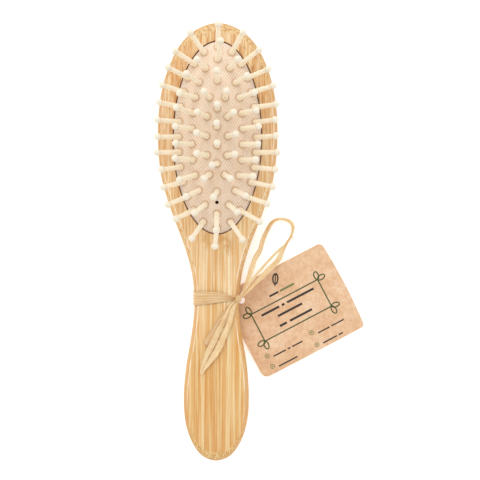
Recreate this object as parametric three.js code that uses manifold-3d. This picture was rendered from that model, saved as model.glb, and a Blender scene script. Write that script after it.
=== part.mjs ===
// A small bamboo hair brush: ball-tipped pins on a rubber air cushion, with a raffia tie and a card hang tag.
// Millimetres, +Z up. The brush lies on its back with its pins up and its head towards +Y.
// The origin is under the middle of the brush, on the surface that it lies on.
import * as THREE from 'three';
import { mergeVertices } from 'three/addons/utils/BufferGeometryUtils.js';
import Module from 'manifold-3d';

// Clearance between pieces that touch.
const GAP = 0.3;

// Straight pieces to a half turn of an oval strand, and to a quarter turn of the card's corners.
const CURVE_SEGMENTS = 4;

// Wooden body. One side of its outline, from the head's tip to the handle's end, as [half-width, y].
const OUTLINE_SIDE = [
  [0, 86.4], [8.8, 83.6], [14.4, 78.5], [19.1, 69.9], [22.5, 58], [23.7, 42], [22.3, 25.5], [18.2, 11.7],
  [13.1, -1.6], [9.9, -13], [8.85, -25.5], [10.1, -38], [12, -49.5], [12.9, -62], [12.1, -72], [9.3, -80],
  [5.2, -85.1], [0, -86.8],
];
const OUTLINE_POINTS = 96;
const BODY_THICKNESS = 12;
const EDGE_WIDTH = 1.6;
const EDGE_DEPTH = 3;
const EDGE_STEPS = 3;

// The underside is arched at the waist, where the tie passes under the handle.
const ARCH_Y = -25;
const ARCH_DEPTH = 2.5;
const ARCH_RADIUS = 220;
const ARCH_WIDTH = 60;
const ARCH_SIDES = 160;

// Air cushion: a rubber dome on an ellipse, held by a lip in a groove of the wood.
const CUSHION_Y = 40.7;
const CUSHION_SEMI_X = 17.2;
const CUSHION_SEMI_Y = 37.7;
const RIM_Z = 11.6;
const DOME_RISE = 6.5;
const DOME_POWER_X = 2;
const DOME_POWER_Y = 4;
const DOME_RINGS = [0.3, 0.55, 0.75, 0.87, 0.95];
const RUBBER_THICKNESS = 1.5;
const LIP_OUT = 1.3;
const LIP_TOP = 10;
const LIP_BOTTOM = 8.6;
const LIP_IN = 1;
const NECK_IN = 1.3;
const NECK_Z = 10.2;
const CHAMBER_FLOOR = 5.5;
const CUSHION_STEPS = 40;
const CUT_ABOVE = 2;
const VENT_Y = -25.7;
const VENT_RADIUS = 0.65;
const DRILL_LENGTH = 8;

// Pins. Each one stands square to the dome, with its flat head inside the cushion.
const PIN_LENGTH = 16;
const PIN_FOOT_RADIUS = 0.95;
const PIN_TIP_RADIUS = 0.78;
const BALL_RADIUS = 1.35;
const BALL_NECK = 1.1;
const BALL_SHOULDER = { radius: 0.7, height: 0.72 };
const HEAD_RADIUS = 1.5;
const HEAD_TOP = -2;
const HEAD_BOTTOM = -2.9;
const PIN_SIDES = 6;
const PIN_HOLE_RADIUS = 1.45;
const BAR_RADIUS = 0.5;
const OUTER_RING = { name: 'pin_outer', count: 28, semiX: 15.1, semiY: 35.4 };
const MIDDLE_RING = { name: 'pin_middle', count: 22, semiX: 9.85, semiY: 30.1 };
const INNER_RING = { count: 12, semiX: 4.15, semiY: 21.5 };
const CENTRE_PINS_Y = [10.6, 3.6, -3.6, -10.6];

// Hang tag, measured from the middle of its hole.
const TAG_LEFT = -6.7;
const TAG_RIGHT = 39.2;
const TAG_TOP = 5.7;
const TAG_BOTTOM = -32.3;
const TAG_THICKNESS = 0.5;
const TAG_HOLE_RADIUS = 2;
const TAG_CORNERS = { bottomLeft: 4.5, bottomRight: 1.2, topRight: 2, topLeft: 2 };
const TAG_HOLE = new THREE.Vector3(9.8, -23.7, 1.1);
const TAG_TURN = THREE.MathUtils.degToRad(27.9);
const TAG_EDGE_Z = 0.05;

// Raffia tie. The band goes round the waist and down through the tag's hole: its middle line as [x, z].
const BAND_LINE = [
  [7.2, 12.65], [8.7, 12.1], [9.45, 10.75], [9.65, 9], [9.65, 3], [9.5, 1.2], [9.05, 0.65], [8.3, 0.5],
  [1.4, 0.5], [-1.4, 1], [-4.5, 1.75], [-9.1, 1.75], [-9.75, 2.3], [-9.9, 3.4], [-9.85, 9],
  [-9.65, 10.8], [-8.9, 12.15], [-7.3, 12.7],
];
const BAND_THICKNESS = 0.6;
const BAND_LEFT = { x: -9.9, y: -22.4, halfWidth: 2.6 };
const BAND_RIGHT = { x: 9.65, y: -23.4, halfWidth: 1.2 };
const KNOT = { at: new THREE.Vector3(8.2, -23.2, 13.8), radii: new THREE.Vector3(2.6, 2.2, 1.45) };
const KNOT_SIDES = 12;
const KNOT_RINGS = 8;

// Free raffia: the bow's loop and its two tails, as points along their middle lines.
const LOOP_ROUTE = [
  [10.2, -20.4, 13.2], [11.5, -17.4, 13], [12.7, -13.9, 12.4], [13.8, -10.4, 11.2], [14.9, -7.2, 9.8],
  [17, -3.4, 7.5], [18.3, 0.9, 5.2], [19.9, 4.5, 3.8], [21, 6.6, 2.9], [22.7, 8.4, 2.2], [24.6, 9.1, 1.7],
  [26.9, 9, 1.5], [29.1, 8.2, 1.4], [30.4, 6.3, 1.5], [30.2, 3.9, 1.7], [29.4, 1.7, 2], [27.7, -1, 2.6],
  [25.8, -4.6, 4.2], [24.2, -7.5, 5.5], [20.3, -11.4, 8], [16.3, -15.3, 10.5], [13.8, -17.9, 12],
  [12.3, -19.7, 12.6],
];
const LOOP_HALF_WIDTH = 0.85;
const LOOP_STEPS = 40;
const LONG_TAIL_ROUTE = [
  [7, -26, 13.1], [5.5, -28.7, 13.3], [3.9, -31.8, 13.3], [2.4, -35, 13.2], [0.9, -38.4, 13.1],
  [-0.7, -41.9, 13.1], [-2.7, -45.4, 13.1], [-4.6, -48.9, 13.1], [-6.1, -52.3, 13.1],
];
const LONG_TAIL_HALF_WIDTH = 1.3;
const SHORT_TAIL_ROUTE = [
  [3.6, -26.6, 13.1], [0.9, -31.2, 13.2], [-1.9, -36.2, 13.1], [-4.5, -40.6, 13.1],
];
const SHORT_TAIL_HALF_WIDTH = 0.8;
const STRAND_HALF_THICKNESS = 0.55;
const TAIL_STEPS = 8;

// Colour and roughness of each material.
const WOOD = { color: 0xe8bf86, roughness: 0.5 };
const RUBBER = { color: 0xf0d8c0, roughness: 0.85 };
const NYLON = { color: 0xf3e6c6, roughness: 0.45 };
const RAFFIA = { color: 0xe9c892, roughness: 0.7 };
const CARD = { color: 0xdcb189, roughness: 0.9 };

// Corners merge within this distance before a cut or a join.
const MERGE = 1e-3;

const wasm = await Module();
wasm.setup();

function toSolid(geometry) {
  const bare = geometry.index ? geometry.toNonIndexed() : geometry.clone();
  bare.deleteAttribute('normal');
  bare.deleteAttribute('uv');
  const merged = mergeVertices(bare, MERGE);
  const mesh = new wasm.Mesh({
    numProp: 3,
    vertProperties: new Float32Array(merged.attributes.position.array),
    triVerts: new Uint32Array(merged.index.array),
  });
  return new wasm.Manifold(mesh);
}

function toGeometry(solid) {
  const { vertProperties, triVerts } = solid.getMesh();
  const geometry = new THREE.BufferGeometry();
  geometry.setAttribute('position', new THREE.BufferAttribute(vertProperties, 3));
  geometry.setIndex(new THREE.BufferAttribute(triVerts, 1));
  geometry.computeVertexNormals();
  return geometry;
}

function named(name, geometry, look) {
  const mesh = new THREE.Mesh(geometry, new THREE.MeshStandardMaterial({ ...look, metalness: 0 }));
  mesh.name = name;
  return mesh;
}

// A closed solid through rings of points, from a pole above to a pole below. Each ring is a function
// of the angle that gives a point.
function ringedSolid(topPole, rings, bottomPole, steps) {
  const positions = [...topPole.toArray()];
  for (const ring of rings) {
    for (let j = 0; j < steps; j += 1) {
      positions.push(...ring((2 * Math.PI * j) / steps).toArray());
    }
  }
  positions.push(...bottomPole.toArray());
  const last = rings.length * steps + 1;
  const at = (i, j) => 1 + i * steps + (j % steps);
  const index = [];
  for (let j = 0; j < steps; j += 1) {
    index.push(0, at(0, j), at(0, j + 1));
    for (let i = 0; i < rings.length - 1; i += 1) {
      index.push(at(i, j), at(i + 1, j), at(i + 1, j + 1));
      index.push(at(i, j), at(i + 1, j + 1), at(i, j + 1));
    }
    index.push(last, at(rings.length - 1, j + 1), at(rings.length - 1, j));
  }
  const geometry = new THREE.BufferGeometry();
  geometry.setAttribute('position', new THREE.Float32BufferAttribute(positions, 3));
  geometry.setIndex(index);
  return geometry;
}

// A level ring whose ellipse is wider than the cushion's rim by offset.
function levelRing(offset, z) {
  return (angle) => new THREE.Vector3(
    (CUSHION_SEMI_X + offset) * Math.cos(angle),
    (CUSHION_SEMI_Y + offset) * Math.sin(angle),
    z,
  );
}

// Height of the rubber's outer face above the resting surface, from the cushion's middle.
function domeHeight(x, y) {
  const u = x / CUSHION_SEMI_X;
  const v = y / CUSHION_SEMI_Y;
  const reach = Math.hypot(u, v);
  const along = reach > 0 ? (v / reach) ** 2 : 0;
  const power = DOME_POWER_X + (DOME_POWER_Y - DOME_POWER_X) * along;
  return RIM_Z + DOME_RISE * (1 - reach ** power);
}

function domeNormal(x, y) {
  const step = 0.01;
  const slopeX = (domeHeight(x + step, y) - domeHeight(x - step, y)) / (2 * step);
  const slopeY = (domeHeight(x, y + step) - domeHeight(x, y - step)) / (2 * step);
  return new THREE.Vector3(-slopeX, -slopeY, 1).normalize();
}

// A ring on the dome at a share of the way out to its rim, sunk into the rubber by depth.
function domeRing(share, depth) {
  return (angle) => {
    const x = CUSHION_SEMI_X * share * Math.cos(angle);
    const y = CUSHION_SEMI_Y * share * Math.sin(angle);
    const point = new THREE.Vector3(x, y, domeHeight(x, y));
    return point.addScaledVector(domeNormal(x, y), -depth);
  };
}

// Where a pin stands: on the dome at x, y from the cushion's middle, square to the rubber.
function pinPlace(x, y) {
  const up = new THREE.Vector3(0, 0, 1);
  const turn = new THREE.Quaternion().setFromUnitVectors(up, domeNormal(x, y));
  const foot = new THREE.Vector3(x, y, domeHeight(x, y));
  return { foot, turn, matrix: new THREE.Matrix4().compose(foot, turn, new THREE.Vector3(1, 1, 1)) };
}

// Places at equal steps round an ellipse, from its +Y end towards -X.
function ringPlaces({ count, semiX, semiY }) {
  const start = Math.PI / 2;
  const ellipse = new THREE.EllipseCurve(0, 0, semiX, semiY, start, start + 2 * Math.PI);
  const points = ellipse.getSpacedPoints(count).slice(0, count);
  return points.map((point) => pinPlace(point.x, point.y));
}

function bodyOutline() {
  const mirrored = OUTLINE_SIDE.slice(1, -1).reverse().map(([x, y]) => [-x, y]);
  const corners = [...OUTLINE_SIDE, ...mirrored].map(([x, y]) => new THREE.Vector3(x, y, 0));
  const curve = new THREE.CatmullRomCurve3(corners, true, 'centripetal');
  const points = curve.getSpacedPoints(OUTLINE_POINTS).slice(0, OUTLINE_POINTS);
  return new THREE.Shape(points.map((point) => new THREE.Vector2(point.x, point.y)));
}

function brushBody() {
  const slab = new THREE.ExtrudeGeometry(bodyOutline(), {
    depth: BODY_THICKNESS - 2 * EDGE_DEPTH,
    bevelThickness: EDGE_DEPTH,
    bevelSize: EDGE_WIDTH,
    bevelOffset: -EDGE_WIDTH,
    bevelSegments: EDGE_STEPS,
  }).translate(0, 0, EDGE_DEPTH);
  const arch = new THREE.CylinderGeometry(ARCH_RADIUS, ARCH_RADIUS, ARCH_WIDTH, ARCH_SIDES)
    .rotateZ(Math.PI / 2)
    .translate(0, ARCH_Y, ARCH_DEPTH - ARCH_RADIUS);
  const above = BODY_THICKNESS + CUT_ABOVE;
  const groove = LIP_OUT + GAP;
  const cavity = ringedSolid(
    new THREE.Vector3(0, 0, above),
    [
      levelRing(GAP, above),
      levelRing(GAP, LIP_TOP + GAP),
      levelRing(groove, LIP_TOP + GAP),
      levelRing(groove, LIP_BOTTOM - GAP),
      levelRing(GAP, LIP_BOTTOM - GAP),
      levelRing(GAP, CHAMBER_FLOOR),
    ],
    new THREE.Vector3(0, 0, CHAMBER_FLOOR),
    CUSHION_STEPS,
  ).translate(0, CUSHION_Y, 0);
  const cut = toSolid(slab).subtract(toSolid(arch)).subtract(toSolid(cavity));
  return named('brush_body', toGeometry(cut), WOOD);
}

// The rubber cushion, open underneath, with a hole for each pin and a vent.
function airCushion(places) {
  const top = domeHeight(0, 0);
  const rings = [
    ...DOME_RINGS.map((share) => domeRing(share, 0)),
    levelRing(0, RIM_Z),
    levelRing(0, LIP_TOP),
    levelRing(LIP_OUT, LIP_TOP),
    levelRing(LIP_OUT, LIP_BOTTOM),
    levelRing(-LIP_IN, LIP_BOTTOM),
    levelRing(-NECK_IN, NECK_Z),
    ...[...DOME_RINGS].reverse().slice(1).map((share) => domeRing(share, RUBBER_THICKNESS)),
  ];
  const shell = ringedSolid(
    new THREE.Vector3(0, 0, top),
    rings,
    new THREE.Vector3(0, 0, top - RUBBER_THICKNESS),
    CUSHION_STEPS,
  );
  let cushion = toSolid(shell);
  const drill = (radius, place) => {
    const hole = new THREE.CylinderGeometry(radius, radius, DRILL_LENGTH, PIN_SIDES).rotateX(Math.PI / 2);
    cushion = cushion.subtract(toSolid(hole.applyMatrix4(place.matrix)));
  };
  places.forEach((place) => drill(PIN_HOLE_RADIUS, place));
  drill(VENT_RADIUS, pinPlace(0, VENT_Y));
  return named('air_cushion', toGeometry(cushion), RUBBER);
}

// One pin about its own foot: flat head, tapered stem and ball tip.
function pinGeometry() {
  const ballZ = PIN_LENGTH - BALL_RADIUS;
  const profile = [
    [0, HEAD_BOTTOM],
    [HEAD_RADIUS, HEAD_BOTTOM],
    [HEAD_RADIUS, HEAD_TOP],
    [PIN_FOOT_RADIUS, HEAD_TOP],
    [PIN_TIP_RADIUS, ballZ - BALL_NECK],
    [BALL_RADIUS, ballZ],
    [BALL_SHOULDER.radius * BALL_RADIUS, ballZ + BALL_SHOULDER.height * BALL_RADIUS],
    [0, PIN_LENGTH],
  ];
  const points = profile.map(([radius, z]) => new THREE.Vector2(radius, z));
  return new THREE.LatheGeometry(points, PIN_SIDES).rotateX(Math.PI / 2);
}

function pinRing(ring) {
  return ringPlaces(ring).map(({ foot, turn }, i) => {
    const number = String(i + 1).padStart(2, '0');
    const mesh = named(`${ring.name}_${number}`, pinGeometry(), NYLON);
    mesh.position.copy(foot);
    mesh.quaternion.copy(turn);
    return mesh;
  });
}

// A row of pins whose heads are joined inside the cushion by a thin bar.
function pinRow(name, places) {
  const headZ = (HEAD_TOP + HEAD_BOTTOM) / 2;
  let row = toSolid(pinGeometry().applyMatrix4(places[0].matrix));
  for (let i = 1; i < places.length; i += 1) {
    row = row.add(toSolid(pinGeometry().applyMatrix4(places[i].matrix)));
    const from = new THREE.Vector3(0, 0, headZ).applyMatrix4(places[i - 1].matrix);
    const to = new THREE.Vector3(0, 0, headZ).applyMatrix4(places[i].matrix);
    const bar = new THREE.CylinderGeometry(BAR_RADIUS, BAR_RADIUS, from.distanceTo(to), PIN_SIDES);
    const way = to.clone().sub(from).normalize();
    bar.applyQuaternion(new THREE.Quaternion().setFromUnitVectors(new THREE.Vector3(0, 1, 0), way));
    bar.translate(...from.add(to).multiplyScalar(0.5).toArray());
    row = row.add(toSolid(bar));
  }
  return named(name, toGeometry(row), NYLON);
}

function hangTag() {
  const { bottomLeft, bottomRight, topRight, topLeft } = TAG_CORNERS;
  const card = new THREE.Shape();
  card.moveTo(TAG_LEFT + bottomLeft, TAG_BOTTOM);
  card.lineTo(TAG_RIGHT - bottomRight, TAG_BOTTOM);
  card.absarc(TAG_RIGHT - bottomRight, TAG_BOTTOM + bottomRight, bottomRight, -Math.PI / 2, 0);
  card.absarc(TAG_RIGHT - topRight, TAG_TOP - topRight, topRight, 0, Math.PI / 2);
  card.absarc(TAG_LEFT + topLeft, TAG_TOP - topLeft, topLeft, Math.PI / 2, Math.PI);
  card.absarc(TAG_LEFT + bottomLeft, TAG_BOTTOM + bottomLeft, bottomLeft, Math.PI, 1.5 * Math.PI);
  card.holes.push(new THREE.Path().absarc(0, 0, TAG_HOLE_RADIUS, 0, 2 * Math.PI, true));
  const geometry = new THREE.ExtrudeGeometry(card, {
    depth: TAG_THICKNESS,
    bevelEnabled: false,
    curveSegments: CURVE_SEGMENTS,
  });
  const tilt = Math.asin((TAG_HOLE.z - TAG_EDGE_Z) / TAG_RIGHT);
  const mesh = named('hang_tag', geometry, CARD);
  mesh.rotation.y = tilt;
  const swung = new THREE.Group();
  swung.add(mesh);
  swung.rotation.z = TAG_TURN;
  swung.position.copy(TAG_HOLE);
  return swung;
}

// A closed line moved sideways by distance, to the left of its way for a positive one.
function offsetLine(line, distance) {
  return line.map((point, i) => {
    const before = line[(i + line.length - 1) % line.length];
    const after = line[(i + 1) % line.length];
    const along = after.clone().sub(before).normalize();
    return new THREE.Vector2(point.x - along.y * distance, point.y + along.x * distance);
  });
}

// The band round the waist, wide on the left and narrow where it meets the knot.
function raffiaWrap() {
  const line = BAND_LINE.map(([x, z]) => new THREE.Vector2(x, z));
  const ring = new THREE.Shape(offsetLine(line, BAND_THICKNESS / 2));
  ring.holes.push(new THREE.Path(offsetLine(line, -BAND_THICKNESS / 2).reverse()));
  const band = new THREE.ExtrudeGeometry(ring, { depth: 1, bevelEnabled: false })
    .translate(0, 0, -0.5)
    .rotateX(Math.PI / 2);
  const position = band.attributes.position;
  for (let i = 0; i < position.count; i += 1) {
    const share = (position.getX(i) - BAND_LEFT.x) / (BAND_RIGHT.x - BAND_LEFT.x);
    const middle = THREE.MathUtils.lerp(BAND_LEFT.y, BAND_RIGHT.y, share);
    const halfWidth = THREE.MathUtils.lerp(BAND_LEFT.halfWidth, BAND_RIGHT.halfWidth, share);
    position.setY(i, middle + Math.sign(position.getY(i)) * halfWidth);
  }
  const knot = new THREE.SphereGeometry(1, KNOT_SIDES, KNOT_RINGS)
    .scale(...KNOT.radii.toArray())
    .translate(...KNOT.at.toArray());
  return named('raffia_wrap', toGeometry(toSolid(band).add(toSolid(knot))), RAFFIA);
}

// A strand of flat oval section along a route.
function strand(name, route, halfWidth, steps) {
  const section = new THREE.Shape();
  section.absellipse(0, 0, STRAND_HALF_THICKNESS, halfWidth, 0, 2 * Math.PI);
  const points = route.map((point) => new THREE.Vector3(...point));
  const geometry = new THREE.ExtrudeGeometry(section, {
    steps,
    extrudePath: new THREE.CatmullRomCurve3(points),
    bevelEnabled: false,
    curveSegments: CURVE_SEGMENTS,
  });
  return named(name, geometry, RAFFIA);
}

const innerPlaces = ringPlaces(INNER_RING);
const half = INNER_RING.count / 2;
const leftPlaces = innerPlaces.slice(1, half);
const rightPlaces = innerPlaces.slice(half + 1);
const centrePlaces = [innerPlaces[0], ...CENTRE_PINS_Y.map((y) => pinPlace(0, y)), innerPlaces[half]];
const allPlaces = [...ringPlaces(OUTER_RING), ...ringPlaces(MIDDLE_RING), ...innerPlaces,
  ...CENTRE_PINS_Y.map((y) => pinPlace(0, y))];

const cushionGroup = new THREE.Group();
cushionGroup.position.y = CUSHION_Y;
cushionGroup.add(
  airCushion(allPlaces),
  ...pinRing(OUTER_RING),
  ...pinRing(MIDDLE_RING),
  pinRow('pin_row_left', leftPlaces),
  pinRow('pin_row_centre', centrePlaces),
  pinRow('pin_row_right', rightPlaces),
);

const brush = new THREE.Group();
brush.add(
  brushBody(),
  cushionGroup,
  raffiaWrap(),
  strand('raffia_loop', LOOP_ROUTE, LOOP_HALF_WIDTH, LOOP_STEPS),
  strand('raffia_tail_long', LONG_TAIL_ROUTE, LONG_TAIL_HALF_WIDTH, TAIL_STEPS),
  strand('raffia_tail_short', SHORT_TAIL_ROUTE, SHORT_TAIL_HALF_WIDTH, TAIL_STEPS),
  hangTag(),
);

export default brush;
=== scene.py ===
"""A small bamboo hair brush with ball-tipped pins, a raffia tie and a kraft card tag, round its CAD frame.

Lengths are written in millimetres, times MM, in the frame's own axes: +Y to the head, +Z out of the cushion.
"""
import math

import bpy
import numpy as np
from mathutils import Euler, Matrix, Vector


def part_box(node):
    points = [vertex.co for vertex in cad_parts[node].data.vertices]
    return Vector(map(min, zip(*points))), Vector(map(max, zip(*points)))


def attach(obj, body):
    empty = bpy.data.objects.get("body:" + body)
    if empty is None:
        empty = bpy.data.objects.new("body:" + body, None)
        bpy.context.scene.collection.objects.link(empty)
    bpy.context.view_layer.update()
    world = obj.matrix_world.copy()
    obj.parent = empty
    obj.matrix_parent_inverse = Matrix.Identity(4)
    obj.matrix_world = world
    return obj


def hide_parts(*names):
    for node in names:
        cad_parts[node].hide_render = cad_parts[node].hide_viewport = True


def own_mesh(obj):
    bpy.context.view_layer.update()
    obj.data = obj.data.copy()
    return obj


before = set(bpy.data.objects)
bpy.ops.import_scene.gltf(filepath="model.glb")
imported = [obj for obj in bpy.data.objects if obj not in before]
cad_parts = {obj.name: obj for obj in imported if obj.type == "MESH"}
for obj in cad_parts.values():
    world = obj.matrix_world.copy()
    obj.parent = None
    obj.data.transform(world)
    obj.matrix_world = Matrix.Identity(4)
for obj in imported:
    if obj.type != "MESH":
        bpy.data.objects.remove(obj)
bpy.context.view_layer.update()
MM = 0.001

# -------- driving dimensions, as in the CAD
# One side of the wooden body's outline, from the head's tip to the handle's end, as half-width and y.
OUTLINE_SIDE = [
    (0, 86.4), (8.8, 83.6), (14.4, 78.5), (19.1, 69.9), (22.5, 58), (23.7, 42), (22.3, 25.5), (18.2, 11.7),
    (13.1, -1.6), (9.9, -13), (8.85, -25.5), (10.1, -38), (12, -49.5), (12.9, -62), (12.1, -72),
    (9.3, -80), (5.2, -85.1), (0, -86.8),
]
OUTLINE_STEPS = 420
BODY_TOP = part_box("brush_body")[1].z
EDGE_WIDTH = 1.6 * MM
EDGE_WIDTH_AT_ENDS = 2.2 * MM
EDGE_DEPTH = 3 * MM
ARRIS_WIDTH = 0.46 * MM
ARRIS_START = math.radians(25)
EDGE_STEPS = 8
ARCH_Y = -25 * MM
ARCH_DEPTH = 2.5 * MM
ARCH_RADIUS = 220 * MM
ARCH_STEPS = 60
GAP = 0.24 * MM
MOUTH_CHAMFER = 0.2 * MM

# The rubber cushion on its ellipse.
CUSHION_LOW, CUSHION_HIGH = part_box("air_cushion")
LIP_OUT = 1.3 * MM
LIP_IN = 1 * MM
NECK_IN = 1.3 * MM
CUSHION_Y = (CUSHION_LOW.y + CUSHION_HIGH.y) / 2
SEMI_X = (CUSHION_HIGH.x - CUSHION_LOW.x) / 2 - LIP_OUT
SEMI_Y = (CUSHION_HIGH.y - CUSHION_LOW.y) / 2 - LIP_OUT
RIM_Z = 11.6 * MM
DOME_RISE = CUSHION_HIGH.z - RIM_Z
DOME_POWER_X = 2
DOME_POWER_Y = 4
LIP_TOP = 10 * MM
LIP_BOTTOM = CUSHION_LOW.z
NECK_Z = 10.2 * MM
RUBBER = 1.5 * MM
CHAMBER_FLOOR = 5.5 * MM
CUSHION_STEPS = 320
CUSHION_RINGS = 70
DOME_SPREAD = 0.98 * math.pi / 2
HATCH_PITCH = 0.88 * MM
HATCH_ANGLE = math.radians(56)
DIMPLE_RADIUS = 2.1 * MM
DIMPLE_DEPTH = 0.34 * MM
VENT_Y = -25.7 * MM
VENT_RADIUS = 0.7 * MM

# Pins, from their foot on the rubber to the top of the ball.
PIN_LENGTH = 16 * MM
BALL_RADIUS = 1.35 * MM
# The pin below its ball, as radius and height: its head, its neck, the flange at the rubber and its stem.
PIN_STEM = [
    (0, -2.9), (1.45, -2.9), (1.5, -2.8), (1.5, -2.1), (1.42, -2), (0.95, -1.9), (0.95, -0.26),
    (1.16, -0.14), (1.24, 0.1), (1.2, 0.5), (1.11, 1.1), (1.05, 2), (1.0, 4), (0.95, 7), (0.9, 10),
    (0.85, 12.4), (0.86, 13.1),
]
PIN_SIDES = 20
PIN_LEAN = math.radians(1.5)
PIN_HOLE_RADIUS = 1.03 * MM
DRILL_TOP, DRILL_BOTTOM = 1.2 * MM, -2.6 * MM
OUTER_RING = {"count": 28, "semi_x": 15.1 * MM, "semi_y": 35.4 * MM}
MIDDLE_RING = {"count": 22, "semi_x": 9.85 * MM, "semi_y": 30.1 * MM}
INNER_RING = {"count": 12, "semi_x": 4.15 * MM, "semi_y": 21.5 * MM}
# How much straighter than the rubber's own slope each ring's pins stand, and the way that they all lean.
OUTER_UPRIGHT = 0.1
MIDDLE_UPRIGHT = 0.2
INNER_UPRIGHT = 0
SHARED_LEAN = (0.02, -0.05)
# Pins bent by use: by ring or row and number in it, the x and y that their tops lean over to.
BENT_PINS = {
    "outer": {1: (0.04, -0.03), 3: (0.05, -0.13), 11: (0.08, -0.06), 13: (0.06, 0.06), 14: (0.08, -0.09),
              28: (-0.06, -0.03)},
    "middle": {1: (0.07, 0.02), 2: (0.03, -0.14), 3: (0, -0.01), 4: (-0.02, -0.11), 5: (-0.05, -0.03),
               6: (-0.1, -0.07), 8: (-0.06, 0.02), 9: (-0.05, -0.13), 10: (-0.03, -0.02), 12: (0, -0.15),
               13: (-0.04, -0.04), 14: (-0.04, -0.05), 17: (0.09, -0.1), 18: (0.1, -0.03),
               21: (-0.06, -0.09), 22: (0.02, -0.11)},
    "left": {1: (-0.02, -0.05), 2: (-0.1, -0.01), 3: (-0.05, -0.07), 4: (-0.05, -0.02), 5: (-0.06, -0.15)},
    "centre": {1: (0, -0.01), 2: (0, -0.06), 3: (0.02, -0.03), 4: (-0.01, -0.02), 5: (-0.06, -0.1),
               6: (-0.02, -0.06)},
    "right": {1: (0.07, -0.08), 2: (0.09, -0.07), 4: (0.01, 0.03), 5: (-0.03, -0.06)},
}
CENTRE_PINS_Y = (10.6 * MM, 3.6 * MM, -3.6 * MM, -10.6 * MM)

# The hang tag, measured from the middle of its hole.
TAG_LEFT, TAG_RIGHT = -6.7 * MM, 39.2 * MM
TAG_BOTTOM, TAG_TOP = -32.3 * MM, 5.7 * MM
TAG_MIDDLE = ((TAG_LEFT + TAG_RIGHT) / 2, (TAG_TOP + TAG_BOTTOM) / 2)
TAG_HALF = ((TAG_RIGHT - TAG_LEFT) / 2, (TAG_TOP - TAG_BOTTOM) / 2)
# Its corners, each with its radius and the angle, in degrees, where its arc starts.
TAG_CORNERS = [
    ((TAG_LEFT, TAG_BOTTOM), 2.8 * MM, 180), ((TAG_RIGHT, TAG_BOTTOM), 1.2 * MM, 270),
    ((TAG_RIGHT, TAG_TOP), 2 * MM, 0), ((TAG_LEFT, TAG_TOP), 2 * MM, 90),
]
TAG_THICKNESS = 0.5 * MM
TAG_HOLE_RADIUS = 1.4 * MM
TAG_HOLE = Vector((9.8, -23.7, 1.1)) * MM
TAG_TURN = math.radians(27.9)
TAG_TILT = math.asin((1.1 - 0.05) / 39.2)
TAG_BULGE = 0.8 * MM
TAG_BOW = 0.9 * MM

# Its print, in mm from the hole: the frame's left, right, low and high, and half the width of its rules.
PRINT_FRAME = (0.7, 31, -19, -6.9)
RULE = 0.26
# The two ovals at each corner of the frame: turn each way in degrees, distance, half-length and half-width.
OVAL_SPREAD = 38
OVAL_REACH = 1.7
OVAL_SIZE = (1.65, 0.9)
# Bars, as v, half-width, and the start and end of each.
BARS = [
    (-9.3, 0.46, ((4.2, 12.2), (13.4, 14.6), (15.8, 27.9))), (-12.5, 0.46, ((10, 21),)),
    (-16.4, 0.46, ((8.8, 12), (13.4, 23.5))),
    (-26, 0.28, ((0.9, 6.5), (7.3, 8.6), (9.4, 14), (21.2, 26.4), (27.2, 32.9))),
    (-30.5, 0.28, ((1, 9.4), (21.1, 27.4), (28.2, 30.1))), (-3.9, 0.4, ((10.6, 14.6),)),
]
RING_PLACES = [(-1.3, -24.7), (18.8, -24.6), (-1.3, -29.4), (18.6, -30)]

# The raffia band's middle line round the waist, as x and z.
BAND_LINE = [
    (7.2, 12.45), (8.5, 12), (9.2, 10.75), (9.45, 9), (9.5, 3), (9.4, 1.2), (9.05, 0.65), (8.3, 0.5),
    (1.4, 0.5), (-1.4, 1), (-4.5, 1.8), (-8.9, 1.8), (-9.3, 2.4), (-9.35, 3.4), (-9.3, 9),
    (-9.1, 10.6), (-8.4, 11.95), (-7.3, 12.45),
]
# The band's middle and half-width along the brush at some places across it, as x, y and half-width.
BAND_SHAPE = [(-9.4, -22.55, 2.65), (-3, -22.1, 2.4), (1.5, -22, 1.8), (5, -22.3, 1.05), (7.6, -22.5, 0.55),
              (9.6, -23.1, 0.75)]
# The band's two gathered strips: seed, pleats, middle and half-width as shares of the band's, and lift.
BAND_STRIPS = [(11, 3, 0.3, 0.72, 0.06), (12, 2, -0.62, 0.4, -0.05)]
KNOT = Vector((8.5, -22.5, 13.5)) * MM
KNOT_AXIS = Vector((0.5, 0.87, 0)).normalized()
# The knot's turns: seed, shift along its axis, lean in degrees, half-width and half-height of the turn.
KNOT_TURNS = [(13, -0.75, 16, 0.95, 0.7), (14, 0, -12, 1.2, 0.9), (15, 0.75, 12, 1.0, 0.75)]
# The raffia inside those turns: seed, and the line's two ends.
KNOT_CORES = [
    (16, (7.6, -24, 13.1), (9.3, -21, 13.4)), (17, (8.1, -23.9, 13.7), (9.1, -21.1, 13.9)),
    (18, (7.2, -23.4, 13), (9.8, -21.6, 13.2)),
]

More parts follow.
